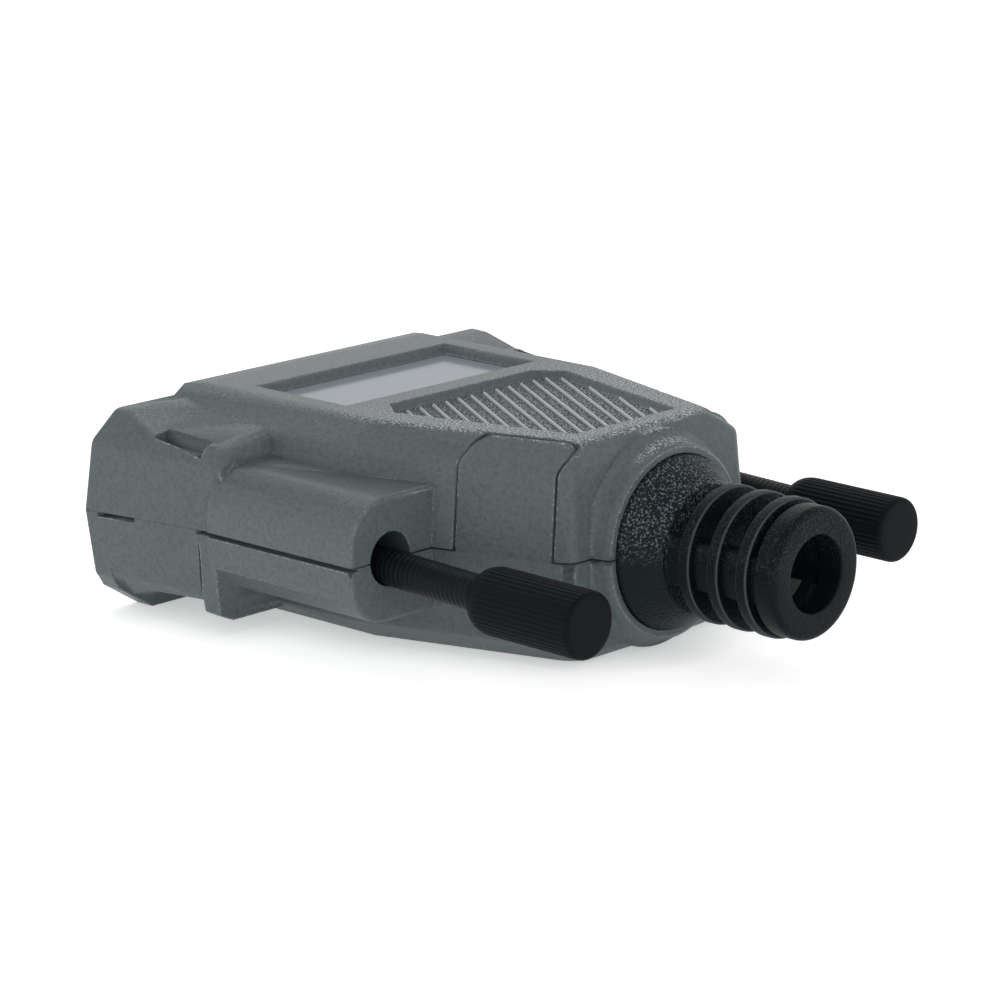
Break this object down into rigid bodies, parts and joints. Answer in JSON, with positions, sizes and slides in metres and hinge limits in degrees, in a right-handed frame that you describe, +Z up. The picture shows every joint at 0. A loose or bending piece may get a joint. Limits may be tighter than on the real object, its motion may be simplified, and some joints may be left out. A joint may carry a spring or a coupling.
{
  "type": "d-sub hood",
  "caption": "Snap-together plastic hood for a D-sub connector with a segmented cable boot, an inner cable clamp and two captive jackscrews with knurled knobs.",
  "frame": {"origin": "under the middle of the overall length and width, on the surface the hood rests on", "axes": "+Y along the cable axis towards the mating face, +X across the hood from the left jackscrew to the right one, +Z up through its thickness"},
  "size_m": [0.0442, 0.0504, 0.016],
  "materials": {
    "shell_plastic": "fine spark-eroded grain",
    "boot_rubber": "satin",
    "knob_plastic": "satin",
    "black_steel": "blackened",
    "zinc_steel": "zinc plated"
  },
  "bodies": {
    "hood": {"upper_shell": "shell_plastic", "lower_shell": "shell_plastic", "cable_boot": "boot_rubber", "clamp_strap_upper": "zinc_steel", "clamp_strap_lower": "zinc_steel", "clamp_screw_left": "zinc_steel", "clamp_screw_right": "zinc_steel", "clamp_nut_left": "zinc_steel", "clamp_nut_right": "zinc_steel"},
    "retainer_left": {"retaining_clip_left": "zinc_steel"},
    "screw_left": {"jackscrew_left": "black_steel", "knob_left": "knob_plastic"},
    "retainer_right": {"retaining_clip_right": "zinc_steel"},
    "screw_right": {"jackscrew_right": "black_steel", "knob_right": "knob_plastic"}
  },
  "joints": [
    {"name": "left_slide", "type": "slide", "parent": "hood", "child": "retainer_left", "axis": [0, 0.9994, 0.0349], "range_m": [0, 0.0089]},
    {"name": "left_turn", "type": "hinge", "parent": "retainer_left", "child": "screw_left", "pos_m": [-0.01666, -0.0008, 0.00738], "axis": [0, 0.9994, 0.0349], "continuous": true},
    {"name": "right_slide", "type": "slide", "parent": "hood", "child": "retainer_right", "axis": [0, 0.9994, 0.0349], "range_m": [0, 0.0089]},
    {"name": "right_turn", "type": "hinge", "parent": "retainer_right", "child": "screw_right", "pos_m": [0.01666, -0.0008, 0.00738], "axis": [0, 0.9994, 0.0349], "continuous": true}
  ]
}
